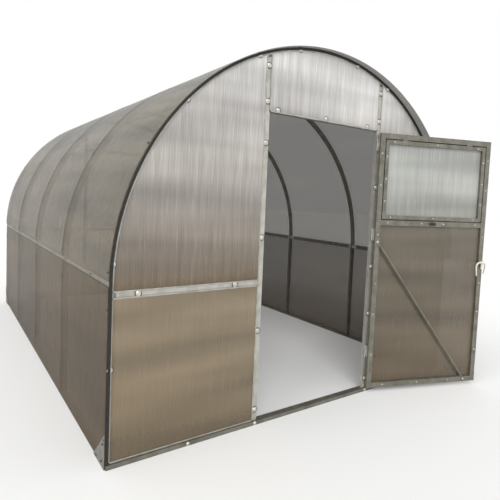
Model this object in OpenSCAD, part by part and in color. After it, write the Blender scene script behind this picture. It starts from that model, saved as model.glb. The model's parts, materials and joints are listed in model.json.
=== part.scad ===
// Polycarbonate greenhouse with a tunnel roof: steel-tube arches on base
// rails, twin-wall sheets, and a hinged gable door with a vent sash in it.
// Origin: middle of the front base rail, on its underside. +X is to the right
// seen from the front, +Y runs from the door to the rear gable, +Z is up.

/* [Building] */
// Width over the side tubes
house_w = 3000; // [2900:10:3300]
// Height at which the straight legs end and the arc of the roof springs
leg_h = 1000; // [960:10:1150]
// Length of one bay, from arch to arch
bay_l = 1050; // [800:10:1050]
// Overhang of the first roof sheet past the front arch, on the left side
roof_lap_left = 10; // [5:1:60]
// Overhang of the first roof sheet past the front arch, on the right side
roof_lap_right = 80; // [40:1:90]
// Overhang of the last roof sheet past the rear arch
roof_lap_rear = 40; // [20:1:80]

/* [Tubes and sheets] */
// Wide side of the rectangular frame tube
tube_w = 40; // [35:1:50]
// Narrow side of the rectangular frame tube
tube_d = 20; // [20:1:25]
// Height of the base rail
base_h = 25; // [20:1:30]
// Depth of the gable base rail, from front to back
base_d = 50; // [45:1:60]
// Thickness of the twin-wall sheet
sheet_t = 4; // [4:1:6]
// How far a sheet laps onto the tube that carries its edge
lap = 7; // [5:1:9]
// Width of the black seal along the edge of each gable
seal_w = 15; // [10:1:20]
// Thickness of that seal
seal_t = 10; // [6:1:12]
// Leg of the triangular corner plates
plate_leg = 195; // [120:5:240]
// Thickness of the corner plates
plate_t = 2.5; // [2:0.5:4]

/* [Gable] */
// Clear width of the doorway between the posts
door_w = 1020; // [960:10:1060]
// Height of the underside of the lintel
door_head = 2025; // [1950:5:2040]
// Height of the middle of the gable mid-rails
mid_z = 940; // [900:5:960]

/* [Door] */
// Gap between the leaf and the doorway, all round
door_gap = 10; // [8:1:14]
// Height of the middle of the leaf's middle rail
leaf_mid_z = 1335; // [1250:5:1400]
// Width of the tube of the vent sash
sash_w = 30; // [25:1:35]
// Gap between the vent sash and the leaf
sash_gap = 8; // [6:1:12]
// Angle at which the door stands open at rest
rest_angle = 160; // [90:1:170]
// Height of the handle's spindle
handle_z = 1030; // [950:5:1100]

/* [Hidden] */
bays = 4;                                  // one node per arch and roof sheet
r_out = house_w / 2;                       // outer radius of the arches
r_in = r_out - tube_w;
length = bays * bay_l;                     // rear face of the rear arch
front_y = -tube_d;                         // front face of the gable frame
base_lead = 15;                            // base rail in front of the frame
skin_gap = 0.5;                            // roof sheet to arch
sheet_joint = 4;                           // open joint between two sheets
purlin_strip = 14;                         // half of the bare purlin strip
side_sheet_z = 8;                          // lower edge of the wall sheets
post_in = door_w / 2;                      // inner faces of the posts
post_out = post_in + tube_w;
leaf_x = post_in - door_gap;               // edges of the leaf when shut
leaf_z0 = base_h + door_gap;
leaf_z1 = door_head - door_gap;
pin_x = post_in + 5;                       // axis of the door hinges
pin_y = front_y - 8;
hinge_z = [323, 1240, 1925];
hinge_h = 90;
knuckle_h = 30;                            // middle knuckle, on the leaf
knuckle_gap = 2;
knuckle_r = 6;
pin_r = 3;
pin_clear = 0.05;
hinge_t = 3;                               // thickness of the hinge plates
hinge_web = 8;                             // from the pin to a plate
handle_x = -(leaf_x - 13);
spindle_r = 5;
lever_w = 13;                              // width of a lever's bar
lever_t = 9;                               // its thickness
lever_drop = 105;
lever_out_y = front_y - 36;                // plane of the outer lever
lever_in_y = 32;                           // plane of the inner lever
lever_out_arm = 58;
lever_in_arm = 70;
tongue_l = 55;
vent_hinge_x = 292;
brace_top_z = 1184;
brace_foot_x = -388;
brace_foot_z = leaf_z0 + tube_w / 2;
over = 1;                                  // cutters run past faces by this
arc_fn = 180;
steel = [0.66, 0.67, 0.64];
clear_sheet = [0.72, 0.74, 0.70, 0.5];
bright = [0.82, 0.81, 0.74];

// ---- shapes that repeat ----

// A block between two opposite corners.
module block(low, high) {
    translate(low) cube(high - low);
}

// A band of the roof's arc from y0 to y1, between two radii and two angles.
// Angle 0 is the right springing and 180 the left.
module arc_band(r0, r1, y0, y1, a0 = 0, a1 = 180) {
    translate([0, y1, leg_h]) rotate([90, 0, 0]) rotate([0, 0, a0])
        rotate_extrude(angle = a1 - a0, $fn = arc_fn)
            translate([r0, 0]) square([r1 - r0, y1 - y0]);
}

// The gable's field: all that lies within radius r of the arc or its legs.
module gable_field(r, y0, y1) {
    translate([0, y1, leg_h]) rotate([90, 0, 0])
        cylinder(r = r, h = y1 - y0, $fn = arc_fn);
    block([-r, y0, 0], [r, y1, leg_h]);
}

// The front face of arch number i, counted from 0.
function arch_y(i) = i * bay_l - tube_d;

// The middle of arch number i, where two sheets meet.
function joint_y(i) = arch_y(i) + tube_d / 2;

// Turns the door leaf from shut to the angle at which it rests.
module at_rest() {
    translate([pin_x, pin_y, 0]) rotate([0, 0, rest_angle])
        translate([-pin_x, -pin_y, 0]) children();
}

// ---- frame ----

module base_rail_front() {
    color(steel)
        block([-r_out, front_y - base_lead, 0],
              [r_out, front_y - base_lead + base_d, base_h]);
}

module base_rail_rear() {
    color(steel)
        block([-r_out, length + base_lead - base_d, 0],
              [r_out, length + base_lead, base_h]);
}

module base_rails_side() {
    color(steel) for (side = [-1, 1])
        translate([side * (r_out - tube_w / 2), 0, 0])
            block([-tube_w / 2, front_y - base_lead + base_d, 0],
                  [tube_w / 2, length + base_lead - base_d, base_h]);
}

// One bent tube, from base rail to base rail.
module arch(i) {
    color(steel) {
        arc_band(r_in, r_out, arch_y(i), arch_y(i) + tube_d);
        for (side = [-1, 1])
            translate([side * (r_out - tube_w / 2), arch_y(i), 0])
                block([-tube_w / 2, 0, base_h], [tube_w / 2, tube_d, leg_h]);
    }
}

// Side purlins at the springing, one length for each bay.
module side_purlins() {
    color(steel) for (side = [-1, 1], i = [0 : bays - 1])
        translate([side * (r_out - tube_d / 2), 0, leg_h])
            block([-tube_d / 2, arch_y(i) + tube_d, -tube_w / 2],
                  [tube_d / 2, arch_y(i + 1), tube_w / 2 - over]);
}

module ridge_purlin() {
    color(steel) for (i = [0 : bays - 1])
        block([-tube_d / 2, arch_y(i) + tube_d, leg_h + r_in],
              [tube_d / 2, arch_y(i + 1), leg_h + r_out - skin_gap]);
}

// ---- gables: y is the front face of the gable frame's tubes ----

module gable_posts(y) {
    color(steel) for (side = [-1, 1]) intersection() {
        translate([side * (post_in + tube_w / 2), y, 0])
            block([-tube_w / 2, 0, base_h], [tube_w / 2, tube_d, leg_h + r_in]);
        gable_field(r_in - skin_gap, y - over, y + tube_d + over);
    }
}

module gable_lintel(y) {
    color(steel)
        block([-post_in, y, door_head], [post_in, y + tube_d, door_head + tube_w]);
}

module gable_mid_rails(y) {
    color(steel) for (side = [-1, 1])
        translate([side * (post_out + r_in) / 2, y, mid_z])
            block([-(r_in - post_out) / 2, 0, -tube_w / 2],
                  [(r_in - post_out) / 2, tube_d, tube_w / 2]);
}

// A sheet on a gable, from y0 to y1, cut to the arc where it meets it.
module gable_sheet(x0, x1, y0, z0, z1) {
    color(clear_sheet) intersection() {
        block([x0, y0, z0], [x1, y0 + sheet_t, z1]);
        gable_field(r_out - 2, y0 - over, y0 + sheet_t + over);
    }
}

side_x = post_out - lap;                   // edge of the side sheets, on a post
door_x = post_in + 4;                      // edge of the panel over the door
lower_z0 = base_h + 2;
lower_z1 = mid_z - tube_w / 2 + lap;
upper_z0 = mid_z + tube_w / 2 - lap;
top_z = leg_h + r_out;
sheet_y = front_y - sheet_t;

module front_sheet_lower_left() {
    gable_sheet(-r_out, -side_x, sheet_y, lower_z0, lower_z1);
}

module front_sheet_upper_left() {
    gable_sheet(-r_out, -side_x, sheet_y, upper_z0, top_z);
}

module front_sheet_over_door() {
    gable_sheet(-door_x, door_x, sheet_y, door_head + 3, top_z);
}

module front_sheet_lower_right() {
    gable_sheet(side_x, r_out, sheet_y, lower_z0, lower_z1);
}

module front_sheet_upper_right() {
    gable_sheet(side_x, r_out, sheet_y, upper_z0, top_z);
}

// The rear gable has no door: its middle field is closed by a fixed sheet.
module rear_sheets() {
    for (z = [[lower_z0, lower_z1], [upper_z0, top_z]]) {
        gable_sheet(-r_out, -side_x, length, z[0], z[1]);
        gable_sheet(side_x, r_out, length, z[0], z[1]);
    }
    gable_sheet(-door_x, door_x, length, lower_z0, lower_z1);
    gable_sheet(-door_x, door_x, length, upper_z0, door_head + tube_w / 2);
    gable_sheet(-door_x, door_x, length, door_head + tube_w / 2 + 3, top_z);
}

module rear_mid_rails() {
    gable_mid_rails(length - tube_d);
    color(steel)
        block([-post_in, length - tube_d, mid_z - tube_w / 2],
              [post_in, length, mid_z + tube_w / 2]);
}

// Black seal that closes the joint between a gable and the roof sheet.
module edge_seal(y0) {
    color("black") {
        arc_band(r_out - seal_w, r_out - skin_gap, y0, y0 + seal_t);
        for (side = [-1, 1])
            translate([side * (r_out - (seal_w + skin_gap) / 2), y0, 0])
                block([-(seal_w - skin_gap) / 2, 0, base_h + 1],
                      [(seal_w - skin_gap) / 2, seal_t, leg_h]);
    }
}

// ---- roof and side walls ----

module roof_band(y0, y1) {
    lift = asin(purlin_strip / r_out);
    color(clear_sheet)
        arc_band(r_out + skin_gap, r_out + skin_gap + sheet_t,
                 y0, y1, lift, 180 - lift);
}

// The first sheet lies a little askew, so its front edge runs at a slant.
module roof_sheet_1() {
    x_edge = r_out + skin_gap + sheet_t;
    slant = atan((roof_lap_right - roof_lap_left) / (2 * x_edge));
    difference() {
        roof_band(front_y - roof_lap_right, joint_y(1) - sheet_joint / 2);
        translate([-x_edge, front_y - roof_lap_left, 0]) rotate([0, 0, -slant])
            block([-over, -3 * roof_lap_right, leg_h],
                  [2.1 * x_edge, 0, top_z + 2 * sheet_t]);
    }
}

module roof_sheet(i) {
    roof_band(joint_y(i) + sheet_joint / 2,
              i == bays - 1 ? length + roof_lap_rear
                            : joint_y(i + 1) - sheet_joint / 2);
}

// Wall sheets below the purlin, one for each bay.
module wall_sheets(side) {
    color(clear_sheet) for (i = [0 : bays - 1])
        translate([side * (r_out + sheet_t / 2), 0, 0])
            block([-sheet_t / 2,
                   i == 0 ? sheet_y : joint_y(i) + sheet_joint / 2,
                   side_sheet_z],
                  [sheet_t / 2,
                   i == bays - 1 ? length + sheet_t
                                 : joint_y(i + 1) - sheet_joint / 2,
                   leg_h - purlin_strip]);
}

// A triangular plate outside each bottom corner of the side walls.
module corner_plates() {
    x = r_out + sheet_t;
    color(steel) for (side = [-1, 1], rear = [0, 1])
        translate([side * (x + plate_t / 2), rear ? length + sheet_t : sheet_y, 0])
            mirror([0, rear, 0]) rotate([90, 0, 90])
                linear_extrude(height = plate_t, center = true)
                    polygon([[0, 0], [plate_leg, 0], [0, plate_leg]]);
}

// ---- door hinges ----

// A knuckle round the pin's axis, standing on z.
module knuckle(z, h) {
    translate([pin_x, pin_y, z]) cylinder(r = knuckle_r, h = h, $fn = 48);
}

// Post side: two knuckles, the pin, and a plate on the post.
module post_hinges() {
    end_h = (hinge_h - knuckle_h) / 2 - knuckle_gap;
    color(steel) for (z = hinge_z) {
        z0 = z - hinge_h / 2;
        translate([pin_x, pin_y, z0]) cylinder(r = pin_r, h = hinge_h, $fn = 48);
        for (zk = [z0, z0 + hinge_h - end_h]) {
            knuckle(zk, end_h);
            block([pin_x, front_y - hinge_t, zk],
                  [pin_x + hinge_web, front_y, zk + end_h]);
        }
        block([pin_x + hinge_web, front_y - hinge_t, z0],
              [side_x - 2, front_y, z0 + hinge_h]);
    }
}

// Leaf side: the middle knuckle and a plate on the hinge stile.
module leaf_hinges() {
    web_t = 2;
    color(steel) at_rest() for (z = hinge_z) difference() {
        union() {
            knuckle(z - knuckle_h / 2, knuckle_h);
            block([pin_x - hinge_web, front_y - hinge_t - 1, z - knuckle_h / 2],
                  [pin_x, front_y - web_t, z + knuckle_h / 2]);
            block([leaf_x - 24, front_y - hinge_t, z - hinge_h / 2],
                  [pin_x - hinge_web, front_y, z + hinge_h / 2]);
        }
        translate([pin_x, pin_y, z - knuckle_h])
            cylinder(r = pin_r + pin_clear, h = 2 * knuckle_h, $fn = 48);
    }
}

// ---- door leaf, drawn shut ----

module leaf_stiles() {
    color(steel) at_rest() difference() {
        for (side = [-1, 1])
            translate([side * (leaf_x - tube_w / 2), front_y, 0])
                block([-tube_w / 2, 0, leaf_z0], [tube_w / 2, tube_d, leaf_z1]);
        translate([handle_x, over, handle_z]) rotate([90, 0, 0])
            cylinder(r = spindle_r + pin_clear, h = tube_d + 2 * over, $fn = 48);
    }
}

// A rail of the leaf between its stiles, standing on z.
module leaf_rail(z) {
    color(steel) at_rest()
        block([-(leaf_x - tube_w), front_y, z],
              [leaf_x - tube_w, 0, z + tube_w]);
}

// Brace on the inner side: a round tube with flattened, bolted ends.
module leaf_brace() {
    top_x = leaf_x - tube_w / 2;
    run = top_x - brace_foot_x;
    rise = brace_top_z - brace_foot_z;
    l = norm([run, rise]);
    color(steel) at_rest()
        translate([brace_foot_x, 0, brace_foot_z]) rotate([0, atan2(run, rise), 0]) {
            translate([0, 9, 40]) cylinder(r = 8.5, h = l - 80, $fn = 48);
            for (z = [-10, l - 50]) block([-10, 0, z], [10, 3, z + 60]);
        }
}

// Outer sheet of the leaf, below the vent.
module leaf_sheet() {
    x = leaf_x - tube_w + 14;
    color(clear_sheet) at_rest()
        block([-x, sheet_y, leaf_z0 + 4], [x, front_y, leaf_mid_z - 6]);
}

// ---- vent in the upper part of the leaf ----

vent_x = leaf_x - tube_w - sash_gap;
vent_z0 = leaf_mid_z + tube_w / 2 + sash_gap;
vent_z1 = leaf_z1 - tube_w - sash_gap;

module vent_sash() {
    color(steel) at_rest() difference() {
        block([-vent_x, front_y, vent_z0], [vent_x, 0, vent_z1]);
        block([-vent_x + sash_w, front_y - over, vent_z0 + sash_w],
              [vent_x - sash_w, over, vent_z1 - sash_w]);
    }
}

module vent_sheet() {
    color(clear_sheet) at_rest()
        block([-vent_x + 4, sheet_y, vent_z0 + 4],
              [vent_x - 4, front_y, vent_z1 - 4]);
}

// Two butt hinges along the top of the sash, on the inner side.
module vent_hinges() {
    z = vent_z1 + sash_gap / 2;
    color(steel) at_rest() for (x = [-vent_hinge_x, vent_hinge_x]) {
        block([x - 25, 0, z - 20], [x + 25, 2, z + 20]);
        translate([x - 25, 2, z]) rotate([0, 90, 0])
            cylinder(r = 4, h = 50, $fn = 32);
    }
}

// Oval turn-button that holds the vent shut, on the middle rail.
module vent_latch() {
    color("black") at_rest()
        translate([0, 0, leaf_mid_z]) rotate([-90, 0, 0]) {
            for (x = [-20, 20]) translate([x, 0, 0])
                cylinder(r = 12, h = 8, $fn = 32);
            block([-20, -12, 0], [20, 12, 8]);
        }
}

// ---- handle ----

// Round roses on both faces of the free stile.
module handle_roses() {
    color(bright) at_rest() for (y = [0, front_y - 5])
        translate([handle_x, y + 5, handle_z]) rotate([90, 0, 0]) difference() {
            cylinder(r = 12, h = 5, $fn = 48);
            translate([0, 0, -over])
                cylinder(r = spindle_r + pin_clear, h = 5 + 2 * over, $fn = 48);
        }
}

// A lever in the plane y: an arm to the side, then a flat grip that hangs down.
module lever(y, arm, lean) {
    half = lever_w / 2;
    translate([handle_x, y - lever_t / 2, handle_z]) {
        block([min(arm, 0) - half, 0, -half], [max(arm, 0) + half, lever_t, half]);
        translate([arm, 0, 0]) rotate([0, lean, 0])
            block([1 - half, 1, -lever_drop], [half - 1, lever_t - 1, 0]);
    }
}

// Two levers on one spindle, with a tongue that turns behind the post.
module handle() {
    color(bright) at_rest() {
        translate([handle_x, lever_in_y, handle_z]) rotate([90, 0, 0])
            cylinder(r = spindle_r, h = lever_in_y - lever_out_y, $fn = 48);
        lever(lever_out_y, -lever_out_arm, -12);
        lever(lever_in_y, lever_in_arm, 5);
        block([handle_x - 9, 8, handle_z - tongue_l], [handle_x + 9, 12, handle_z + 9]);
    }
}

base_rail_front();
base_rail_rear();
base_rails_side();
arch(0);  // arch_1
arch(1);  // arch_2
arch(2);  // arch_3
arch(3);  // arch_4
arch(4);  // arch_5
side_purlins();
ridge_purlin();
gable_posts(front_y);  // front_posts
gable_lintel(front_y);  // front_lintel
gable_mid_rails(front_y);  // front_mid_rails
gable_posts(length - tube_d);  // rear_posts
gable_lintel(length - tube_d);  // rear_lintel
rear_mid_rails();
roof_sheet_1();
roof_sheet(1);  // roof_sheet_2
roof_sheet(2);  // roof_sheet_3
roof_sheet(3);  // roof_sheet_4
wall_sheets(-1);  // wall_sheets_left
wall_sheets(1);  // wall_sheets_right
front_sheet_lower_left();
front_sheet_upper_left();
front_sheet_over_door();
front_sheet_lower_right();
front_sheet_upper_right();
rear_sheets();
edge_seal(sheet_y - seal_t);  // front_edge_seal
edge_seal(length + sheet_t);  // rear_edge_seal
corner_plates();
post_hinges();
leaf_stiles();
leaf_rail(leaf_z1 - tube_w);  // leaf_top_rail
leaf_rail(leaf_mid_z - tube_w / 2);  // leaf_mid_rail
leaf_rail(leaf_z0);  // leaf_bottom_rail
leaf_brace();
leaf_sheet();
leaf_hinges();
vent_sash();
vent_sheet();
vent_hinges();
vent_latch();
handle_roses();
handle();
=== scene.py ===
"""Looks of a tunnel-shaped polycarbonate greenhouse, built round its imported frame.

The frame holds every tube, sheet and hinge. This file gives them their
finishes, and adds the small pieces that a builder fits last: washers, screws,
edge tapes, a gusset, brackets, the turned vent button and the door's levers.
"""

from __future__ import annotations

import json
import logging
import math
from collections.abc import Callable, Iterable
from dataclasses import dataclass, field
from enum import Enum

import bmesh
import bpy
from mathutils import Matrix, Vector

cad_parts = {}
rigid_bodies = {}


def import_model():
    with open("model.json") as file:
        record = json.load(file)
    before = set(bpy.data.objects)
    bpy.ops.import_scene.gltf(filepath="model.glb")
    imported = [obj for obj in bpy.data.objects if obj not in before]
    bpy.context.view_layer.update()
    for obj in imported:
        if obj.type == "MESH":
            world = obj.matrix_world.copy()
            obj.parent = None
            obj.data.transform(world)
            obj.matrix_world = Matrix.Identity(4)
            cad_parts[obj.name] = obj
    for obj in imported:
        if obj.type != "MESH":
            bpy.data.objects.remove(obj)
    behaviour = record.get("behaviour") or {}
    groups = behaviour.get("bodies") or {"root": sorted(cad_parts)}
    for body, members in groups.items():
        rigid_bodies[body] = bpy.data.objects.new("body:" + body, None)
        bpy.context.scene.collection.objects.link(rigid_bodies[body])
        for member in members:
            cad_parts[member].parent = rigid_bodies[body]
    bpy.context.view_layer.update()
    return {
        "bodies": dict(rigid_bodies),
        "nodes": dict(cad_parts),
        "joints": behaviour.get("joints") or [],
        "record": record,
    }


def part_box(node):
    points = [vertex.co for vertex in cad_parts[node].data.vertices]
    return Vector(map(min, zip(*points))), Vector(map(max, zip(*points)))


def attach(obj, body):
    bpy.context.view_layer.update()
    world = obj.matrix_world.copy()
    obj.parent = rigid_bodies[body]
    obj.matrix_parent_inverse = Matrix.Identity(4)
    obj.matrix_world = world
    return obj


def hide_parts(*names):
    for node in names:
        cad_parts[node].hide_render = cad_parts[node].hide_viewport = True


log = logging.getLogger("greenhouse")

Colour = tuple[float, float, float]
Point = tuple[float, float, float]


# ---------------------------------------------------------------- node wiring


class Wiring:
    """Makes one material and wires its nodes."""

    def __init__(self, name: str) -> None:
        """Start a material that holds a Principled shader alone.

        Args:
            name: The material's name.
        """
        self.material = bpy.data.materials.new(name)
        self.material.use_nodes = True
        self.tree = self.material.node_tree
        self.shader = self.tree.nodes["Principled BSDF"]

    def node(self, kind: str, **settings: object) -> bpy.types.Node:
        """Add a node and set its properties.

        Args:
            kind: Blender's name for the node's type.
            settings: Property names and their values.

        Returns:
            The new node.
        """
        made = self.tree.nodes.new(kind)
        for key, value in settings.items():
            setattr(made, key, value)
        return made

    def feed(self, socket: bpy.types.NodeSocket, source: object) -> None:
        """Link a socket to its source, or set it where the source is a number or a colour.

        Args:
            socket: The input to fill.
            source: An output socket, a number, or a colour.
        """
        if isinstance(source, bpy.types.NodeSocket):
            self.tree.links.new(source, socket)
        elif isinstance(source, tuple) and socket.type == "RGBA":
            socket.default_value = (*source, 1.0)
        else:
            socket.default_value = source

    def place(self, turn: float = 0.0, scale: Point = (1, 1, 1)) -> bpy.types.NodeSocket:
        """Object coordinates, turned about Z and then scaled.

        Args:
            turn: Angle in radians.
            scale: Factor along each axis.

        Returns:
            The vector output.
        """
        coords = self.node("ShaderNodeTexCoord").outputs["Object"]
        turned = self.node("ShaderNodeMapping")
        turned.inputs["Rotation"].default_value = (0, 0, -turn)
        self.feed(turned.inputs["Vector"], coords)
        scaled = self.node("ShaderNodeMapping")
        scaled.inputs["Scale"].default_value = scale
        self.feed(scaled.inputs["Vector"], turned.outputs["Vector"])
        return scaled.outputs["Vector"]

    def noise(self, vector: bpy.types.NodeSocket, scale: float, detail: float = 3.0) -> bpy.types.NodeSocket:
        """Noise from 0 to 1.

        Args:
            vector: Where to read it.
            scale: How fine it is.
            detail: How many finer layers it has.

        Returns:
            The value output.
        """
        made = self.node("ShaderNodeTexNoise")
        self.feed(made.inputs["Vector"], vector)
        made.inputs["Scale"].default_value = scale
        made.inputs["Detail"].default_value = detail
        return made.outputs["Fac"]

    def span(self, value: bpy.types.NodeSocket, low: float, high: float,
             out_low: float = 0.0, out_high: float = 1.0) -> bpy.types.NodeSocket:
        """Stretch a value's range onto another, clamped.

        Args:
            value: The value to stretch.
            low: The value that becomes out_low.
            high: The value that becomes out_high.
            out_low: The lowest result.
            out_high: The highest result.

        Returns:
            The stretched value.
        """
        made = self.node("ShaderNodeMapRange")
        for socket, source in zip(made.inputs, (value, low, high, out_low, out_high)):
            self.feed(socket, source)
        return made.outputs["Result"]

    def blend(self, share: object, first: object, second: object, mode: str = "MIX") -> bpy.types.NodeSocket:
        """Mix two colours.

        Args:
            share: How much of the second shows.
            first: A colour, or an output that gives one.
            second: A colour, or an output that gives one.
            mode: Blender's name for the way of mixing.

        Returns:
            The mixed colour.
        """
        made = self.node("ShaderNodeMix", data_type="RGBA", blend_type=mode)
        self.feed(made.inputs["Factor"], share)
        colours = [s for s in made.inputs if s.type == "RGBA"]
        self.feed(colours[0], first)
        self.feed(colours[1], second)
        return next(s for s in made.outputs if s.type == "RGBA")

    def maths(self, what: str, first: object, second: object = 0.0) -> bpy.types.NodeSocket:
        """One step of arithmetic.

        Args:
            what: Blender's name for the step.
            first: An output or a number.
            second: An output or a number.

        Returns:
            The result.
        """
        made = self.node("ShaderNodeMath", operation=what)
        self.feed(made.inputs[0], first)
        self.feed(made.inputs[1], second)
        return made.outputs["Value"]

    def bump(self, height: bpy.types.NodeSocket, strength: float, distance: float) -> None:
        """Give the shader a bump.

        Args:
            height: The relief, from 0 to 1.
            strength: How much it shows.
            distance: Its depth in metres.
        """
        made = self.node("ShaderNodeBump")
        made.inputs["Strength"].default_value = strength
        made.inputs["Distance"].default_value = distance
        self.feed(made.inputs["Height"], height)
        self.feed(self.shader.inputs["Normal"], made.outputs["Normal"])


# -------------------------------------------------------------------- finishes


@dataclass(frozen=True)
class Metal:
    """A zinc-coated or enamelled metal with soft mottling, rubbed duller in places."""

    name: str
    light: Colour
    dark: Colour
    metallic: float
    rough_low: float
    rough_high: float
    mottle: float = 16.0
    grain: float = 420.0

    def build(self) -> bpy.types.Material:
        """Wire the finish.

        Returns:
            The material.
        """
        wiring = Wiring(self.name)
        here = wiring.place()
        cloud = wiring.noise(here, self.mottle, 5.0)
        flecks = wiring.noise(here, self.mottle * 9, 2.0)
        patches = wiring.maths("MULTIPLY", cloud, 0.7)
        share = wiring.maths("ADD", patches, wiring.maths("MULTIPLY", flecks, 0.3))
        colour = wiring.blend(wiring.span(share, 0.34, 0.66), self.dark, self.light)
        wiring.feed(wiring.shader.inputs["Base Color"], colour)
        wiring.feed(wiring.shader.inputs["Metallic"], self.metallic)
        rough = wiring.span(flecks, 0.3, 0.7, self.rough_low, self.rough_high)
        wiring.feed(wiring.shader.inputs["Roughness"], rough)
        wiring.bump(wiring.noise(here, self.grain, 2.0), 0.12, 0.0006)
        return wiring.material


@dataclass(frozen=True)
class Dull:
    """A dark rubber or plastic with a fine matte grain."""

    name: str
    colour: Colour
    worn: Colour
    roughness: float

    def build(self) -> bpy.types.Material:
        """Wire the finish.

        Returns:
            The material.
        """
        wiring = Wiring(self.name)
        here = wiring.place()
        share = wiring.span(wiring.noise(here, 30.0, 4.0), 0.4, 0.75)
        wiring.feed(wiring.shader.inputs["Base Color"], wiring.blend(share, self.colour, self.worn))
        wiring.feed(wiring.shader.inputs["Roughness"], self.roughness)
        wiring.bump(wiring.noise(here, 900.0, 2.0), 0.2, 0.0004)
        return wiring.material


class Ribs(Enum):
    """The way along which a sheet's ribs follow one another."""

    ACROSS = 0.0
    ALONG = math.pi / 2


@dataclass(frozen=True)
class TwinWall:
    """Twin-wall polycarbonate: fine ribs, drawn streaks, and a tint with painted reflection in it, rising
    from the floor's warm brown low down to the sky's silver higher up, broken by soft painted reflection
    bands.
    """

    name: str
    # low and high: sheet tint with painted reflection, the floor's brown at low_z rising to the sky's silver
    # at high_z.
    low: Colour
    high: Colour
    low_z: float
    high_z: float
    turn: float
    alpha: float
    streak: float = 0.17
    roughness: float = 0.16
    # cloud: strength of the soft painted reflection bands.
    cloud: float = 0.30
    rib_pitch: float = 0.011
    gloss: float = 0.5

    def build(self) -> bpy.types.Material:
        """Wire the finish.

        Returns:
            The material.
        """
        wiring = Wiring(self.name)
        here = wiring.place(self.turn)
        apart = wiring.node("ShaderNodeSeparateXYZ")
        wiring.feed(apart.inputs["Vector"], here)
        # Painted reflection: the colour rises with height from the reflected floor to the reflected sky.
        reflection_rise = wiring.span(apart.outputs["Z"], self.low_z, self.high_z)
        base = wiring.blend(reflection_rise, self.low, self.high)

        drawn = wiring.place(self.turn, (1.0, 0.05, 0.03))
        wide = wiring.noise(drawn, 26.0, 3.0)
        fine = wiring.noise(drawn, 150.0, 2.0)
        broad = wiring.maths("MULTIPLY", wide, 0.45)
        mixed = wiring.maths("ADD", broad, wiring.maths("MULTIPLY", fine, 0.55))
        light = wiring.span(mixed, 0.36, 0.64, 1.0 - self.streak, 1.0 + self.streak)

        # Soft painted reflection bands, lighter and darker across the sheet.
        soft = wiring.noise(wiring.place(self.turn, (0.5, 0.5, 4.0)), 1.15, 1.5)
        painted_reflection_bands = wiring.span(soft, 0.3, 0.7, 1.0 - self.cloud, 1.0 + self.cloud)
        level = wiring.maths("MULTIPLY", light, painted_reflection_bands)
        grey = wiring.node("ShaderNodeCombineColor")
        for socket in grey.inputs:
            wiring.feed(socket, level)
        colour = wiring.blend(1.0, base, grey.outputs["Color"], "MULTIPLY")
        wiring.feed(wiring.shader.inputs["Base Color"], colour)
        rough = wiring.span(fine, 0.3, 0.7, self.roughness, self.roughness * 1.8)
        wiring.feed(wiring.shader.inputs["Roughness"], rough)
        wiring.feed(wiring.shader.inputs["Alpha"], self.alpha)
        wiring.shader.inputs["IOR"].default_value = 1.585
        wiring.shader.inputs["Specular IOR Level"].default_value = self.gloss

        wave = wiring.node("ShaderNodeTexWave", wave_type="BANDS", bands_direction="X", wave_profile="SIN")
        wiring.feed(wave.inputs["Vector"], here)
        wave.inputs["Scale"].default_value = math.tau / (20.0 * self.rib_pitch)
        relief = wiring.maths("ADD", wave.outputs["Fac"], wiring.maths("MULTIPLY", wide, 1.5))
        wiring.bump(relief, 0.35, 0.0012)
        return wiring.material


# --------------------------------------------------------------- measurements


@dataclass(frozen=True)
class Plan:
    """Driving sizes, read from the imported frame."""

    half: float
    spring: float
    radius: float
    sheet: float
    arch_y: tuple[float, ...]
    front: float
    post: float
    rail_z: float
    head: float
    pin: Vector
    open_angle: float

    @classmethod
    def read(cls, frame: dict) -> Plan:
        """Take the sizes from the frame's boxes and joints.


        Returns:
            The plan.
        """
        low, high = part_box("arch_1")
        half = (high.x - low.x) / 2
        names = sorted(name for name in frame["nodes"] if name.startswith("arch_"))
        middles = tuple(sum(corner.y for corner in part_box(name)) / 2 for name in names)
        post_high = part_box("front_posts")[1]
        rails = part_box("front_mid_rails")
        joints = {joint["name"]: joint for joint in frame["joints"]}
        spindle = joints["handle_turn"]["axis"]
        return cls(
            half=half,
            spring=high.z - half,
            radius=half,
            sheet=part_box("front_sheet_lower_left")[0].y,
            arch_y=middles,
            front=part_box("base_rail_front")[0].y,
            post=post_high.x - 0.02,
            rail_z=(rails[0].z + rails[1].z) / 2,
            head=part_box("front_lintel")[0].z,
            pin=Vector(joints["door_swing"]["pos_m"]),
            open_angle=math.atan2(-spindle[0], spindle[1]),
        )

    def swing(self) -> Matrix:
        """The turn that takes a shut leaf to where it rests.

        Returns:
            The turn from shut to rest.
        """
        away = Matrix.Translation((self.pin.x, self.pin.y, 0))
        return away @ Matrix.Rotation(self.open_angle, 4, "Z") @ away.inverted()

    def on_arc(self, degrees: float, radius: float, y: float) -> Vector:
        """A point on the roof's arc, where 0 degrees is the right springing.

        Args:
            degrees: Angle from the right, in degrees.
            radius: Distance from the axis of the arc.
            y: Where along the house.

        Returns:
            The point.
        """
        turn = math.radians(degrees)
        return Vector((radius * math.cos(turn), y, self.spring + radius * math.sin(turn)))


# ------------------------------------------------------------------ modelling


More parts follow.
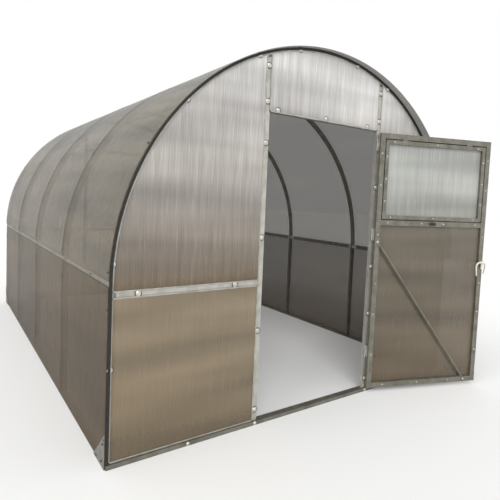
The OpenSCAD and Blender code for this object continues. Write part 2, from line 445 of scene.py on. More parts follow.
class Bench:
    """Models meshes with operators, one at a time, each with its place in its mesh."""

    @staticmethod
    def clear() -> None:
        """Leave nothing selected."""
        if bpy.context.object and bpy.context.object.mode != "OBJECT":
            bpy.ops.object.mode_set(mode="OBJECT")
        bpy.ops.object.select_all(action="DESELECT")

    @staticmethod
    def choose(piece: bpy.types.Object) -> None:
        """Select one object and make it active.

        Args:
            piece: The object.
        """
        Bench.clear()
        piece.select_set(True)
        bpy.context.view_layer.objects.active = piece

    @staticmethod
    def pick_faces(piece: bpy.types.Object, wanted: Callable[[bmesh.types.BMFace], bool]) -> int:
        """Enter edit mode with only the wanted faces selected.

        Args:
            piece: The mesh object.
            wanted: Tells whether a face is wanted.

        Returns:
            How many faces are selected.
        """
        if bpy.context.object is not piece or piece.mode != "EDIT":
            Bench.choose(piece)
            bpy.ops.object.mode_set(mode="EDIT")
        bpy.ops.mesh.select_mode(type="FACE")
        mesh = bmesh.from_edit_mesh(piece.data)
        for face in mesh.faces:
            face.select_set(wanted(face))
        mesh.select_flush_mode()
        bmesh.update_edit_mesh(piece.data)
        return sum(face.select for face in mesh.faces)

    @staticmethod
    def settle(piece: bpy.types.Object, name: str, sharp: float = 35.0) -> bpy.types.Object:
        """Leave edit mode, put the object's place into its mesh, and smooth it.

        Args:
            piece: The mesh object.
            name: Its final name.
            sharp: Edges over this many degrees stay sharp.

        Returns:
            The same object.
        """
        if piece.mode != "OBJECT":
            bpy.ops.object.mode_set(mode="OBJECT")
        Bench.choose(piece)
        bpy.ops.object.transform_apply(location=True, rotation=True, scale=True)
        bpy.ops.object.shade_smooth_by_angle(angle=math.radians(sharp))
        piece.name = name
        piece.data.name = name
        return piece

    @staticmethod
    def block(low: Point, high: Point, bevel: float = 0.001, segments: int = 1) -> bpy.types.Object:
        """A bevelled block between two opposite corners.

        Args:
            low: The lowest corner.
            high: The highest corner.
            bevel: Width of the bevel.
            segments: Faces across it.

        Returns:
            The new object.
        """
        Bench.clear()
        centre = [(a + b) / 2 for a, b in zip(low, high)]
        size = [b - a for a, b in zip(low, high)]
        bpy.ops.mesh.primitive_cube_add(size=1, location=centre, scale=size)
        made = bpy.context.object
        bpy.ops.object.transform_apply(location=True, rotation=True, scale=True)
        bpy.ops.object.mode_set(mode="EDIT")
        bpy.ops.mesh.select_all(action="SELECT")
        bpy.ops.mesh.bevel(offset=bevel, segments=segments, affect="EDGES")
        bpy.ops.object.mode_set(mode="OBJECT")
        return made

    @staticmethod
    def join(parts: list[bpy.types.Object], name: str) -> bpy.types.Object:
        """Join meshes into one piece.

        Args:
            parts: The meshes.
            name: The piece's name.

        Returns:
            The joined object.
        """
        Bench.choose(parts[0])
        for part in parts:
            part.select_set(True)
        if len(parts) > 1:
            bpy.ops.object.join()
        return Bench.settle(parts[0], name)

    @staticmethod
    def scatter(master: bpy.types.Object, places: Iterable[Matrix], name: str) -> bpy.types.Object:
        """Copy a master to each place, join the copies and drop the master.

        Args:
            master: The modelled piece, at the origin.
            places: One matrix for each copy.
            name: The joined piece's name.

        Returns:
            The joined object.
        """
        copies = []
        for place in places:
            copy = master.copy()
            copy.data = master.data.copy()
            copy.data.transform(place)
            bpy.context.scene.collection.objects.link(copy)
            copies.append(copy)
        bpy.data.objects.remove(master)
        return Bench.join(copies, name)

    @staticmethod
    def arc_strip(plan: Plan, radii: tuple[float, float], ys: tuple[float, float]) -> bpy.types.Object:
        """A strip of rectangular section spun over the roof's arc.

        Args:
            plan: The frame's sizes.
            radii: Its inner and outer radius.
            ys: Its front and rear.

        Returns:
            The new object.
        """
        Bench.clear()
        middle = (sum(radii) / 2, sum(ys) / 2)
        bpy.ops.mesh.primitive_plane_add(size=1, location=(middle[0], middle[1], plan.spring))
        made = bpy.context.object
        made.scale = (radii[1] - radii[0], ys[1] - ys[0], 1)
        bpy.ops.object.transform_apply(location=True, rotation=True, scale=True)
        bpy.ops.object.mode_set(mode="EDIT")
        bpy.ops.mesh.select_all(action="SELECT")
        bpy.ops.mesh.spin(steps=120, angle=math.pi, center=(0, 0, plan.spring), axis=(0, 1, 0))
        bpy.ops.mesh.select_all(action="SELECT")
        bpy.ops.mesh.remove_doubles(threshold=0.00001)
        bpy.ops.mesh.normals_make_consistent(inside=False)
        bpy.ops.object.mode_set(mode="OBJECT")
        return made


def facing(spot: Vector, way: Vector) -> Matrix:
    """A place whose Z looks along a way.

    Args:
        spot: Where the place lies.
        way: The direction that its Z looks along.

    Returns:
        The place as a matrix.
    """
    return Matrix.Translation(spot) @ way.to_track_quat("Z", "Y").to_matrix().to_4x4()


@dataclass
class Fasteners:
    """The two fixings of the house: domed washers on the gables and small hex screws on the rest."""

    washer_r: float = 0.0165
    screw_r: float = 0.0075

    def washer(self) -> bpy.types.Object:
        """A domed washer with a pan head in its middle, standing on the XY plane.

        Returns:
            The new object.
        """
        Bench.clear()
        bpy.ops.mesh.primitive_cylinder_add(vertices=20, radius=self.washer_r, depth=0.0016,
                                            location=(0, 0, 0.0008))
        made = bpy.context.object
        steps = ((0.0030, 0.0030), (0.0040, 0.0016), (0.0004, 0.0024), (0.0016, 0.0008))
        self._raise_top(made, steps)
        return made

    def ring(self) -> bpy.types.Object:
        """The dark sealing ring that shows round a washer, standing on the XY plane.

        Returns:
            The new object.
        """
        Bench.clear()
        bpy.ops.mesh.primitive_cylinder_add(vertices=20, radius=self.washer_r + 0.0035, depth=0.0012,
                                            location=(0, 0, 0.0006))
        return bpy.context.object

    def screw(self) -> bpy.types.Object:
        """A hex head on a flange, standing on the XY plane.

        Returns:
            The new object.
        """
        Bench.clear()
        bpy.ops.mesh.primitive_cylinder_add(vertices=12, radius=self.screw_r, depth=0.0014,
                                            location=(0, 0, 0.0007))
        made = bpy.context.object
        self._raise_top(made, ((0.0022, 0.0004), (0.0003, 0.0036), (0.0012, 0.0006)))
        return made

    @staticmethod
    def _raise_top(piece: bpy.types.Object, steps: Iterable[tuple[float, float]]) -> None:
        """Inset the top face again and again, lifting it each time.

        Args:
            piece: The mesh object.
            steps: Width and lift of each inset.
        """
        Bench.pick_faces(piece, lambda face: face.normal.z > 0.9)
        for width, lift in steps:
            bpy.ops.mesh.inset(thickness=width, depth=0)
            bpy.ops.transform.translate(value=(0, 0, lift))
        bpy.ops.object.mode_set(mode="OBJECT")


# ----------------------------------------------------------------- assemblies


@dataclass
class Shop:
    """Holds the finishes and hands each finished piece to the frame."""

    finishes: dict[str, bpy.types.Material] = field(default_factory=dict)

    def finish(self, maker: Metal | Dull | TwinWall) -> bpy.types.Material:
        """Build a finish once and keep it by name.

        Args:
            maker: The finish.

        Returns:
            Its material.
        """
        if maker.name not in self.finishes:
            self.finishes[maker.name] = maker.build()
        return self.finishes[maker.name]

    def dress_node(self, piece: bpy.types.Object, maker: Metal | Dull | TwinWall) -> None:
        """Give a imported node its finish.

        Args:
            piece: The node's object.
            maker: The finish.
        """
        piece.data.materials.clear()
        piece.data.materials.append(self.finish(maker))

    def deliver(self, piece: bpy.types.Object, maker: Metal | Dull | TwinWall, body: str, slot: str,
                *replaced: str) -> None:
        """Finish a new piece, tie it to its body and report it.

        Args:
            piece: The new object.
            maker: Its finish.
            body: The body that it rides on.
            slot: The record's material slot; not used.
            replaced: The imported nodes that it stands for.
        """
        self.dress_node(piece, maker)
        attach(piece, body)
        if replaced:
            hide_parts(*replaced)
        log.info("%s on %s, %d faces", piece.name, body, len(piece.data.polygons))


# Tube finish: grey-green zinc, darkened beyond the rail finish as painted shade on the arches, purlins and
# leaf tubes.
TUBE_PAINTED_SHADE = Metal("galvanised_tube", (0.25, 0.24, 0.20), (0.145, 0.138, 0.112), 0.55, 0.26, 0.46)
RAIL = Metal("galvanised_rail", (0.56, 0.55, 0.50), (0.38, 0.37, 0.325), 0.45, 0.28, 0.45)
ZINC = Metal("zinc_plate", (0.78, 0.77, 0.72), (0.42, 0.40, 0.35), 0.55, 0.24, 0.42, 40.0)
TAPE = Metal("edge_tape", (0.50, 0.49, 0.45), (0.30, 0.29, 0.25), 0.35, 0.30, 0.45, 22.0)
ENAMEL = Metal("pale_enamel", (0.80, 0.77, 0.66), (0.66, 0.62, 0.50), 0.10, 0.22, 0.36, 30.0)
BLACKENED = Metal("blackened_screw", (0.10, 0.095, 0.085), (0.05, 0.047, 0.042), 0.35, 0.35, 0.55, 60.0)
SEAL = Dull("rubber_seal", (0.008, 0.008, 0.008), (0.020, 0.020, 0.019), 0.62)
BUTTON = Dull("black_plastic", (0.012, 0.012, 0.012), (0.035, 0.034, 0.033), 0.42)
JOINT = Dull("joint_tape", (0.10, 0.095, 0.080), (0.17, 0.16, 0.14), 0.55)

# Sheet tints with painted reflection in them: brown where the floor is reflected low down, silver where the
# sky is reflected higher up.
UPPER_SHEET_FLOOR_REFLECTION = (0.150, 0.108, 0.066)
SHEET_SKY_REFLECTION = (0.70, 0.685, 0.665)
SHEET_FLOOR_REFLECTION_LOW = (0.200, 0.149, 0.086)
SHEET_FLOOR_REFLECTION_HIGH = (0.300, 0.235, 0.150)


class Sheets(Enum):
    """The finish of each group of sheets."""

    GABLE_UPPER = TwinWall("gable_sheet_upper", UPPER_SHEET_FLOOR_REFLECTION, SHEET_SKY_REFLECTION, 0.95, 2.30, Ribs.ACROSS.value, 0.76)
    GABLE_LOWER = TwinWall("gable_sheet_lower", SHEET_FLOOR_REFLECTION_LOW, SHEET_FLOOR_REFLECTION_HIGH, 0.05, 0.95,
                           Ribs.ACROSS.value, 0.76, 0.05)
    # Wall and roof colours are sheet tint with painted reflection, darker brown low down and lighter higher
    # up; the roof's stronger cloud gives stronger painted reflection bands.
    WALL = TwinWall("wall_sheet", (0.090, 0.060, 0.030), (0.120, 0.088, 0.050), 0.05, 0.95,
                    Ribs.ALONG.value, 0.72, 0.08,
                    gloss=0.04)
    ROOF = TwinWall("roof_sheet", (0.135, 0.102, 0.058), (0.180, 0.163, 0.116), 1.0, 2.3,
                    Ribs.ALONG.value, 0.60, 0.10,
                    cloud=0.40, gloss=0.15)

    @property
    def maker(self) -> TwinWall:
        """The finish itself.

        Returns:
            The finish.
        """
        return self.value


@dataclass
class Gable:
    """The fixings and tapes of one gable; side is -1 at the front and 1 at the rear."""

    plan: Plan
    shop: Shop
    fasteners: Fasteners
    name: str
    face_y: float
    side: int
    arc_angles: tuple[float, ...] = (176, 137, 114, 101, 80, 66, 43, 4)
    left_heights: tuple[float, ...] = (2.31, 2.09, 1.83, 1.23, 0.625, 0.10)
    right_heights: tuple[float, ...] = (2.31, 2.10, 1.60, 0.99, 0.62, 0.10)
    head_xs: tuple[float, ...] = (-0.445, -0.025, 0.40)
    rail_xs: tuple[float, ...] = (-1.34, -0.72, 0.72, 1.34)
    leg_z: float = 0.54
    edge_in: float = 0.014
    tape_w: float = 0.009
    tape_t: float = 0.0022

    def build(self) -> None:
        """Model and dress all of it."""
        places = [facing(spot, Vector((0, self.side, 0))) for spot in self._washer_spots()]
        washers = Bench.scatter(self.fasteners.washer(), places, f"{self.name}_washers")
        self.shop.deliver(washers, ZINC, "greenhouse", "zinc_hardware")
        rings = Bench.scatter(self.fasteners.ring(), places, f"{self.name}_rings")
        self.shop.deliver(rings, SEAL, "greenhouse", "rubber_seal")
        tapes = Bench.join(self._tapes(), f"{self.name}_edge_tapes")
        self.shop.deliver(tapes, TAPE, "greenhouse", "zinc_hardware")

    def _washer_spots(self) -> list[Vector]:
        """Where the washers sit: round the arc, down the legs and posts, along the head and rails.

        Returns:
            The places.
        """
        plan = self.plan
        spots = [plan.on_arc(a, plan.radius - self.edge_in, self.face_y) for a in self.arc_angles]
        spots += [Vector((s * (plan.half - self.edge_in), self.face_y, self.leg_z)) for s in (-1, 1)]
        spots += [Vector((-plan.post, self.face_y, z)) for z in self.left_heights]
        spots += [Vector((plan.post, self.face_y, z)) for z in self.right_heights]
        spots += [Vector((x, self.face_y, plan.head + 0.02)) for x in self.head_xs]
        spots += [Vector((x, self.face_y, plan.rail_z)) for x in self.rail_xs]
        return spots

    def _tapes(self) -> list[bpy.types.Object]:
        """Pale tapes folded over the sheets' open edges.

        Returns:
            The strips and bars.
        """
        plan, wide = self.plan, self.tape_w
        near, far = sorted((self.face_y + self.side * self.tape_t, self.face_y - self.side * 0.002))
        side_edge, door_edge = plan.post + 0.013, plan.post - 0.016
        low, mid, top = 0.027, 0.013, math.sqrt((plan.radius - 0.04) ** 2 - plan.post ** 2) + plan.spring
        bars = []
        for s in (-1, 1):
            outer, inner = s * (plan.half - 0.016), s * side_edge
            for z0 in (low, plan.rail_z - mid - wide, plan.rail_z + mid):
                bars.append(self._bar((outer, inner), (near, far), (z0, z0 + wide)))
            bars.append(self._bar((inner, inner + s * wide), (near, far), (low, plan.rail_z - mid)))
            bars.append(self._bar((inner, inner + s * wide), (near, far), (plan.rail_z + mid, top)))
            bars.append(self._bar((outer, outer + s * 0.002 - s * wide), (near, far), (low, plan.spring)))
            start = plan.head + 0.003 if self.side < 0 else plan.rail_z + mid
            bars.append(self._bar((s * door_edge, s * (door_edge - wide)), (near, far), (start, top + 0.02)))
        above = plan.head + 0.003
        bars.append(self._bar((-door_edge, door_edge), (near, far), (above, above + wide)))
        bars.append(Bench.arc_strip(plan, (plan.radius - 0.016 - wide, plan.radius - 0.016), (near, far)))
        return bars

    @staticmethod
    def _bar(xs: tuple[float, float], ys: tuple[float, float], zs: tuple[float, float]) -> bpy.types.Object:
        """A thin bar between pairs of limits, in any order.

        Args:
            xs: Its two limits in x.
            ys: Its two limits in y.
            zs: Its two limits in z.

        Returns:
            The new object.
        """
        low = tuple(min(pair) for pair in (xs, ys, zs))
        high = tuple(max(pair) for pair in (xs, ys, zs))
        return Bench.block(low, high, 0.0008)


@dataclass
class Tunnel:
    """Screws, joint tapes and brackets of the roof and the side walls."""

    plan: Plan
    shop: Shop
    fasteners: Fasteners
    skin: float = 0.0045
    wall_skin: float = 0.004
    arc_angles: tuple[float, ...] = (2.3, 30, 90, 150, 177.7)
    wall_heights: tuple[float, ...] = (0.865, 0.16)
    bay_shares: tuple[float, ...] = (0.32, 0.93)
    tape_w: float = 0.009

    def build(self) -> None:
        """Model and dress all of it."""
        screws = Bench.scatter(self.fasteners.screw(), self._screw_places(), "roof_and_wall_screws")
        self.shop.deliver(screws, BLACKENED, "greenhouse", "zinc_hardware")
        tapes = Bench.join(self._joint_tapes(), "sheet_joint_tapes")
        self.shop.deliver(tapes, JOINT, "greenhouse", "rubber_seal")
        brackets = Bench.join(self._brackets(), "purlin_brackets")
        self.shop.deliver(brackets, ZINC, "greenhouse", "zinc_hardware")

    def _screw_places(self) -> list[Matrix]:
        """A screw at each crossing of a sheet's edge and a tube.

        Returns:
            One matrix for each screw.
        """
        plan, places = self.plan, []
        for y in plan.arch_y:
            for angle in self.arc_angles:
                spot = plan.on_arc(angle, plan.radius + self.skin, y)
                places.append(facing(spot, plan.on_arc(angle, 1, 0) - plan.on_arc(angle, 0, 0)))
            for s in (-1, 1):
                for z in self.wall_heights:
                    spot = Vector((s * (plan.half + self.wall_skin), y, z))
                    places.append(facing(spot, Vector((s, 0, 0))))
        for start, end in zip(plan.arch_y, plan.arch_y[1:]):
            for share in self.bay_shares:
                y = start + (end - start) * share
                for s in (-1, 1):
                    places.append(facing(Vector((s * plan.half, y, plan.spring)), Vector((s, 0, 0))))
        return places

    def _joint_tapes(self) -> list[bpy.types.Object]:
        """Tapes over the joints between neighbouring sheets.

        Returns:
            The strips and bars.
        """
        plan, half = self.plan, self.tape_w / 2
        outer = plan.radius + self.skin
        tapes = []
        for y in plan.arch_y[1:-1]:
            tapes.append(Bench.arc_strip(plan, (outer, outer + 0.0010), (y - half, y + half)))
            for s in (-1, 1):
                near = s * (plan.half + self.wall_skin)
                low = (min(near, near + s * 0.001), y - half, 0.03)
                high = (max(near, near + s * 0.001), y + half, plan.spring - 0.014)
                tapes.append(Bench.block(low, high, 0.0002))
        return tapes

    def _brackets(self) -> list[bpy.types.Object]:
        """Angle brackets that hold each purlin to its arch, with a screw in each leg.

        Returns:
            The brackets and their screws.
        """
        plan, parts = self.plan, []
        reach, tall, thick, deep = 0.045, 0.015, 0.002, 0.020
        for y in plan.arch_y:
            for way in (-1, 1):
                face = y + way * 0.010
                if not plan.arch_y[0] < face < plan.arch_y[-1]:
                    continue
                for s in (-1, 1):
                    wall = s * (plan.half - deep)
                    low_z, high_z = plan.spring - tall, plan.spring + tall
                    ends = sorted((wall, wall - s * thick))
                    ys = sorted((face, face + way * reach))
                    parts.append(Bench.block((ends[0], ys[0], low_z), (ends[1], ys[1], high_z), 0.0005))
                    ends = sorted((wall, wall - s * 0.018))
                    ys = sorted((face, face + way * thick))
                    parts.append(Bench.block((ends[0], ys[0], low_z), (ends[1], ys[1], high_z), 0.0005))
                    screw = self.fasteners.screw()
                    spot = Vector((wall - s * thick, face + way * reach * 0.6, plan.spring))
                    screw.data.transform(facing(spot, Vector((-s, 0, 0))))
                    parts.append(screw)
        return parts


@dataclass
class Footing:
    """Screws of the corner plates, fixings of the base rails and the splice plate at the threshold."""

    plan: Plan
    shop: Shop
    fasteners: Fasteners
    plate_skin: float = 0.0065
    rail_mid: float = 0.0125
    rail_xs: tuple[float, ...] = (-1.015, -0.53, 0.53, 1.015)

    def build(self) -> None:
        """Model and dress all of it."""
        plan = self.plan
        spots = []
        for s in (-1, 1):
            x = s * (plan.half + self.plate_skin)
            for start, way in ((plan.arch_y[0], 1), (plan.arch_y[-1], -1)):
                for along, up in ((0.015, 0.13), (0.03, 0.03), (0.13, 0.014)):
                    spots.append(facing(Vector((x, start + way * along, up)), Vector((s, 0, 0))))
        screws = Bench.scatter(self.fasteners.screw(), spots, "corner_plate_screws")
        self.shop.deliver(screws, BLACKENED, "greenhouse", "zinc_hardware")
        rear_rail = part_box("base_rail_rear")[1].y
        ends = [(plan.front, -1), (rear_rail, 1)]
        places = [facing(Vector((x, y, self.rail_mid)), Vector((0, way, 0)))
                  for y, way in ends for x in self.rail_xs]
        small = Fasteners(washer_r=0.0115)
        washers = Bench.scatter(small.washer(), places, "base_rail_washers")
        self.shop.deliver(washers, ZINC, "greenhouse", "zinc_hardware")
        splice = Bench.block((-0.09, plan.front - 0.0015, 0.002), (0.0, plan.front, 0.023), 0.0005)
        self.shop.deliver(Bench.settle(splice, "threshold_splice"), TUBE_PAINTED_SHADE, "greenhouse", "galvanised_tube")


@dataclass
class Door:
    """Everything that rides on the leaf; it is modelled shut and then swung open."""

    plan: Plan
    shop: Shop
    fasteners: Fasteners
    half: float = 0.500
    tube: float = 0.040
    low: float = 0.035
    high: float = 2.015
    rail: float = 1.335
    inner_y: float = 0.0
    outer_y: float = -0.024
    plate: float = 0.075
    plate_t: float = 0.002

    def build(self) -> None:
        """Model and dress all of it."""
        self._gussets()
        self._inner_screws()
        self._outer_washers()
        self._vent_seal()
        self._turn_button()

    def _hang(self, piece: bpy.types.Object, name: str, maker: Metal | Dull, slot: str,
              *replaced: str) -> None:
        """Swing a piece open with the leaf and deliver it.

        Args:
            piece: The piece, modelled with the leaf shut.
            name: Its name.
            maker: Its finish.
            slot: The record's material slot.
            replaced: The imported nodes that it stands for.
        """
        Bench.settle(piece, name)
        piece.data.transform(self.plan.swing())
        self.shop.deliver(piece, maker, "door_leaf", slot, *replaced)

    def _gussets(self) -> None:
        """A right-angled plate in the free lower corner of the leaf, with its screws."""
        parts = []
        corners = [(-1, self.low, 1)]
        for sx, z, sz in corners:
            Bench.clear()
            middle = (sx * (self.half - self.plate / 2), self.inner_y, z + sz * self.plate / 2)
            bpy.ops.mesh.primitive_plane_add(size=self.plate, location=middle, rotation=(math.pi / 2, 0, 0))
            made = bpy.context.object
            bpy.ops.object.transform_apply(location=True, rotation=True, scale=True)
            bpy.ops.object.mode_set(mode="EDIT")
            bpy.ops.mesh.select_all(action="SELECT")
            bpy.ops.mesh.bisect(plane_co=middle, plane_no=(-sx, 0, sz), use_fill=False, clear_outer=True)
            bpy.ops.mesh.select_all(action="SELECT")
            bpy.ops.mesh.extrude_region_move(TRANSFORM_OT_translate={"value": (0, self.plate_t, 0)})
            bpy.ops.mesh.select_all(action="SELECT")
            bpy.ops.mesh.normals_make_consistent(inside=False)
            bpy.ops.object.mode_set(mode="OBJECT")
            parts.append(made)
            for dx, dz in ((0.014, 0.014), (0.050, 0.014), (0.014, 0.050)):
                screw = self.fasteners.screw()
                spot = Vector((sx * (self.half - dx), self.inner_y + self.plate_t, z + sz * dz))
                screw.data.transform(facing(spot, Vector((0, 1, 0))))
                parts.append(screw)
        self._hang(Bench.join(parts, "leaf_gusset"), "leaf_gusset", TUBE_PAINTED_SHADE, "zinc_hardware")

    def _inner_screws(self) -> None:
        """Screws on the inner side: down the stiles, along the rails, round the sash and in the brace."""
        stile = self.half - self.tube / 2
        sash_x, sash_low, sash_high = 0.437, 1.378, 1.952
        spots = [(s * stile, z) for s in (-1, 1) for z in (0.30, 0.62, 0.86, 1.24, 1.62, 1.86)]
        spots += [(x, self.low + self.tube / 2) for x in (-0.24, 0.05, 0.36)]
        spots += [(x, self.rail) for x in (-0.40, -0.10, 0.10, 0.40)]
        spots += [(x, z) for x in (-0.38, 0.0, 0.38) for z in (sash_low, sash_high)]
        spots += [(s * sash_x, z) for s in (-1, 1) for z in (1.50, 1.67, 1.84)]
        places = [facing(Vector((x, self.inner_y, z)), Vector((0, 1, 0))) for x, z in spots]
        screws = Bench.scatter(Fasteners(screw_r=0.006).screw(), places, "leaf_screws")
        self._hang(screws, "leaf_screws", ZINC, "zinc_hardware")
        ends = [(self.half - self.tube / 2, 1.184), (-0.388, self.low + self.tube / 2)]
        places = [facing(Vector((x, self.inner_y + 0.003, z)), Vector((0, 1, 0))) for x, z in ends]
        bolts = Bench.scatter(Fasteners(washer_r=0.009).washer(), places, "brace_bolts")
        self._hang(bolts, "brace_bolts", ZINC, "zinc_hardware")

    def _outer_washers(self) -> None:
        """Domed washers that hold the leaf's two sheets from outside."""
        edge, pane = 0.464, 0.434
        spots = [(s * edge, z) for s in (-1, 1) for z in (0.10, 0.50, 0.90, 1.26)]
        spots += [(x, z) for x in (-0.15, 0.15) for z in (0.056, 1.318)]
        spots += [(s * pane, z) for s in (-1, 1) for z in (1.39, 1.66, 1.94)]
        spots += [(0.0, 1.39), (0.0, 1.94)]
        places = [facing(Vector((x, self.outer_y, z)), Vector((0, -1, 0))) for x, z in spots]
        washers = Bench.scatter(Fasteners(washer_r=0.011).washer(), places, "leaf_washers")
        self._hang(washers, "leaf_washers", ZINC, "zinc_hardware")

    def _vent_seal(self) -> None:
        """Black seal in the gap round the vent sash."""
        out_x, in_x, low, high, wide = 0.459, 0.4525, 1.3555, 1.9745, 0.0065
        ys = (-0.017, -0.006)
        bars = [Bench.block((-out_x, ys[0], z), (out_x, ys[1], z + wide), 0.001) for z in (low, high - wide)]
        for s in (-1, 1):
            xs = sorted((s * out_x, s * in_x))
            bars.append(Bench.block((xs[0], ys[0], low + wide), (xs[1], ys[1], high - wide), 0.001))
        self._hang(Bench.join(bars, "vent_seal"), "vent_seal", SEAL, "rubber_seal")

    def _turn_button(self) -> None:
        """An oval button with rounded edges and a pivot screw."""
        Bench.clear()
        lift = 0.004
        bpy.ops.mesh.primitive_cylinder_add(vertices=40, radius=0.032, depth=2 * lift,
                                            location=(0, self.inner_y + lift, self.rail),
                                            rotation=(math.pi / 2, 0, 0), scale=(1.0, 0.38, 1.0))
        made = bpy.context.object
        bpy.ops.object.transform_apply(location=True, rotation=True, scale=True)
        Bench.pick_faces(made, lambda face: abs(face.normal.y) > 0.9)
        bpy.ops.mesh.region_to_loop()
        bpy.ops.mesh.bevel(offset=0.0025, segments=3, affect="EDGES")
        bpy.ops.object.mode_set(mode="OBJECT")
        screw = self.fasteners.screw()
        screw.data.transform(facing(Vector((0, self.inner_y + 2 * lift, self.rail)), Vector((0, 1, 0))))
        button = Bench.join([made, screw], "vent_turn_button")
        self._hang(button, "vent_turn_button", BUTTON, "black_plastic", "vent_latch")


@dataclass
class Handle:
    """The two levers, their spindle and the tongue; modelled with the leaf shut."""

    plan: Plan
    shop: Shop
    spindle: Vector
    grip_r: float = 0.0068
    drop: float = 0.106

    def build(self) -> None:
        """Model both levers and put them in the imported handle's place."""
        outer_y, inner_y = -0.056, 0.032
        parts = [
            self._lever(outer_y, (-0.024, -0.062, -0.086, -0.092), -0.012),
            self._lever(inner_y, (0.024, 0.052, 0.068, 0.070), 0.006),
            self._spindle(outer_y, inner_y),
            Bench.block((self.spindle.x - 0.009, 0.008, self.spindle.z - 0.055),
                        (self.spindle.x + 0.009, 0.012, self.spindle.z + 0.009), 0.0015, 2),
        ]
        piece = Bench.join(parts, "door_levers")
        piece.data.transform(self.plan.swing())
        self.shop.deliver(piece, ENAMEL, "door_handle", "handle_metal", "handle")

    def _lever(self, y: float, reach: tuple[float, ...], hook: float) -> bpy.types.Object:
        """A lever: an arm that runs out and bends down into a tapered grip.

        Args:
            y: The plane it lies in.
            reach: How far out the arm's points lie.
            hook: How far the grip's tip comes back in.

        Returns:
            The new object.
        """
        Bench.clear()
        bpy.ops.curve.primitive_bezier_curve_add()
        curve = bpy.context.object
        spline = curve.data.splines[0]
        knots = [(0.0, 0.0, 1.25), (reach[0], 0.004, 1.15), (reach[1], 0.001, 1.1), (reach[2], -0.016, 1.05),
                 (reach[3], -0.050, 1.0), (reach[3] - hook * 0.6, -0.085, 0.88),
                 (reach[3] - hook, -self.drop, 0.7)]
        spline.bezier_points.add(len(knots) - 2)
        for point, (out, up, thick) in zip(spline.bezier_points, knots):
            point.co = (self.spindle.x + out, y, self.spindle.z + up)
            point.handle_left_type = point.handle_right_type = "AUTO"
            point.radius = thick
        curve.data.dimensions = "3D"
        curve.data.bevel_depth = self.grip_r
        curve.data.bevel_resolution = 4
        curve.data.use_fill_caps = True
        curve.data.resolution_u = 8
        bpy.ops.object.convert(target="MESH")
        made = bpy.context.object
        bpy.ops.object.mode_set(mode="EDIT")
        bpy.ops.mesh.select_all(action="SELECT")
        bpy.ops.mesh.remove_doubles(threshold=0.00001)
        bpy.ops.mesh.normals_make_consistent(inside=False)
        bpy.ops.object.mode_set(mode="OBJECT")
        return made

    def _spindle(self, outer_y: float, inner_y: float) -> bpy.types.Object:
        """The round spindle.

        Args:
            outer_y: The plane of the outer lever.
            inner_y: The plane of the inner lever.

        Returns:
            The new object.
        """
        Bench.clear()
        middle = (self.spindle.x, (outer_y + inner_y) / 2, self.spindle.z)
        bpy.ops.mesh.primitive_cylinder_add(vertices=28, radius=0.005, depth=inner_y - outer_y,
                                            location=middle, rotation=(math.pi / 2, 0, 0))
        made = bpy.context.object
        bpy.ops.object.transform_apply(location=True, rotation=True, scale=True)
        return made


# ----------------------------------------------------------------------- frame


def finish_for(node: str) -> Metal | Dull | TwinWall:
    """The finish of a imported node.

    Args:
        node: The node's name.

    Returns:
        Its finish.
    """
    if node.startswith("roof_sheet"):
        return Sheets.ROOF.maker
    if node.startswith("wall_sheets"):
        return Sheets.WALL.maker
    if node.startswith("front_sheet_lower"):
        return Sheets.GABLE_LOWER.maker
    if node.startswith("front_sheet"):
        return Sheets.GABLE_UPPER.maker
    # Rear sheets: sheet tint with painted reflection rising from floor brown to sky silver.
    if node == "rear_sheets":
        return TwinWall("rear_sheet", SHEET_FLOOR_REFLECTION_LOW, SHEET_SKY_REFLECTION, 0.05, 1.95, Ribs.ACROSS.value, 0.56, 0.12)
    if node.endswith("edge_seal"):
        return SEAL
    if node in ("post_hinges", "leaf_hinges"):
        return RAIL
    if node in ("handle_roses", "handle"):
        return ENAMEL
    if node in ("front_mid_rails", "front_posts"):
        return RAIL
    return BUTTON if node == "vent_latch" else TUBE_PAINTED_SHADE


def dress_frame(frame: dict, plan: Plan, shop: Shop) -> None:
    """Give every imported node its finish.

    Args:
        plan: The frame's sizes.
        shop: The finishes.
    """
    leaf_way = plan.open_angle
    # Leaf and vent sheets carry painted reflection too: darker brown low down, lighter grey in the vent pane
    # above.
    door_sheet = TwinWall("door_sheet", (0.138, 0.104, 0.064), (0.138, 0.117, 0.088), 0.05, 1.3,
                          leaf_way, 0.84, 0.05)
    vent_sheet = TwinWall("vent_pane", (0.35, 0.355, 0.325), (0.42, 0.43, 0.405), 1.4, 1.95,
                          leaf_way, 0.86, 0.12)
    for name, piece in frame["nodes"].items():
        maker = {"leaf_sheet": door_sheet, "vent_sheet": vent_sheet}.get(name) or finish_for(name)
        shop.dress_node(piece, maker)


# ---------------------------------------------------------------------- studio


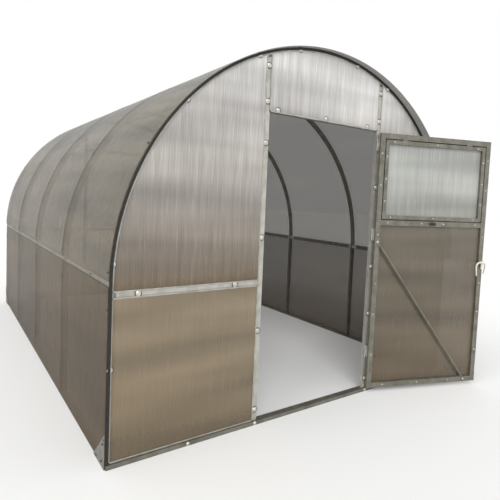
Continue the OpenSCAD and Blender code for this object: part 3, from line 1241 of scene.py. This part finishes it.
@dataclass(frozen=True)
class Studio:
    """Camera, lamps, floor and background."""

    eye: Point = (-2.2261, -2.3327, 1.4801)
    heading: float = 0.6102
    tilt: float = -0.0631
    lean: float = 0.0429
    lens: float = 32.383
    shift: tuple[float, float] = (-0.0039, -0.0470)
    floor_size: float = 80.0
    sky: float = 0.72
    key: float = 1.3

    def build(self) -> None:
        """Set up the view and the light."""
        scene = bpy.context.scene
        scene.view_settings.view_transform = "Standard"
        scene.camera = self._camera()
        self._sky()
        self._floor()
        self._lamp("key", self.key, (0.45, 0.75, -0.60))
        self._lamp("fill", self.key * 0.45, (0.75, 0.10, 0.75))

    def _camera(self) -> bpy.types.Object:
        """The camera, aimed by its heading, tilt and lean.

        Returns:
            The camera object.
        """
        data = bpy.data.cameras.new("camera")
        data.sensor_width = 36.0
        data.lens = self.lens
        data.shift_x, data.shift_y = self.shift
        camera = bpy.data.objects.new("camera", data)
        bpy.context.scene.collection.objects.link(camera)
        ahead = Vector((math.sin(self.heading) * math.cos(self.tilt),
                        math.cos(self.heading) * math.cos(self.tilt), math.sin(self.tilt)))
        level = Vector((math.cos(self.heading), -math.sin(self.heading), 0))
        upright = level.cross(ahead)
        right = math.cos(self.lean) * level + math.sin(self.lean) * upright
        above = math.cos(self.lean) * upright - math.sin(self.lean) * level
        turn = Matrix((right, above, -ahead)).transposed().to_4x4()
        camera.matrix_world = Matrix.Translation(self.eye) @ turn
        return camera

    def _sky(self) -> None:
        """Soft light from all round, seen as white by the camera, by gloss and through glass."""
        world = bpy.data.worlds.new("studio_sky")
        bpy.context.scene.world = world
        world.use_nodes = True
        tree = world.node_tree
        lit = tree.nodes["Background"]
        lit.inputs["Color"].default_value = (1, 1, 1, 1)
        path = tree.nodes.new("ShaderNodeLightPath")
        seen = path.outputs["Is Camera Ray"]
        for name in ("Is Glossy Ray", "Is Transmission Ray"):
            either = tree.nodes.new("ShaderNodeMath")
            either.operation = "MAXIMUM"
            tree.links.new(seen, either.inputs[0])
            tree.links.new(path.outputs[name], either.inputs[1])
            seen = either.outputs["Value"]
        strength = tree.nodes.new("ShaderNodeMapRange")
        strength.inputs["To Min"].default_value = self.sky
        strength.inputs["To Max"].default_value = 1.0
        tree.links.new(seen, strength.inputs["Value"])
        tree.links.new(strength.outputs["Result"], lit.inputs["Strength"])

    def _floor(self) -> None:
        """A pale floor that keeps the shadow."""
        Bench.clear()
        bpy.ops.mesh.primitive_plane_add(size=self.floor_size, location=(0, 2.1, -0.0005))
        floor = bpy.context.object
        floor.name = "studio_floor"
        wiring = Wiring("pale_floor")
        wiring.feed(wiring.shader.inputs["Base Color"], (0.86, 0.86, 0.85))
        wiring.feed(wiring.shader.inputs["Roughness"], 0.9)
        path = wiring.node("ShaderNodeLightPath")
        glow = wiring.maths("MULTIPLY", path.outputs["Is Camera Ray"], 0.09)
        wiring.feed(wiring.shader.inputs["Emission Color"], (1.0, 1.0, 1.0))
        wiring.feed(wiring.shader.inputs["Emission Strength"], glow)
        floor.data.materials.append(wiring.material)

    @staticmethod
    def _lamp(name: str, strength: float, way: Point) -> None:
        """A broad, soft sun.

        Args:
            name: The lamp's name.
            strength: Its power on a surface that faces it.
            way: The direction that its light travels.
        """
        data = bpy.data.lights.new(name, "SUN")
        data.energy = strength
        data.angle = math.radians(35)
        lamp = bpy.data.objects.new(name, data)
        aim = Vector(way)
        aim.z = -abs(aim.z)
        lamp.rotation_euler = aim.to_track_quat("-Z", "Y").to_euler()
        bpy.context.scene.collection.objects.link(lamp)


# ------------------------------------------------------------------------ main


def main() -> None:
    """Load the frame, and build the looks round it."""
    logging.basicConfig(level=logging.INFO, format="%(message)s")
    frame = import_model()
    Studio().build()
    plan = Plan.read(frame)
    shop = Shop()
    fasteners = Fasteners()
    dress_frame(frame, plan, shop)
    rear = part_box("rear_sheets")[1].y
    Gable(plan, shop, fasteners, "front_gable", plan.sheet, -1).build()
    Gable(plan, shop, fasteners, "rear_gable", rear, 1).build()
    Tunnel(plan, shop, fasteners).build()
    Footing(plan, shop, fasteners).build()
    Door(plan, shop, fasteners).build()
    joints = {joint["name"]: joint for joint in frame["joints"]}
    spindle = plan.swing().inverted() @ Vector(joints["handle_turn"]["pos_m"])
    Handle(plan, shop, spindle).build()


if __name__ == "__main__":
    main()
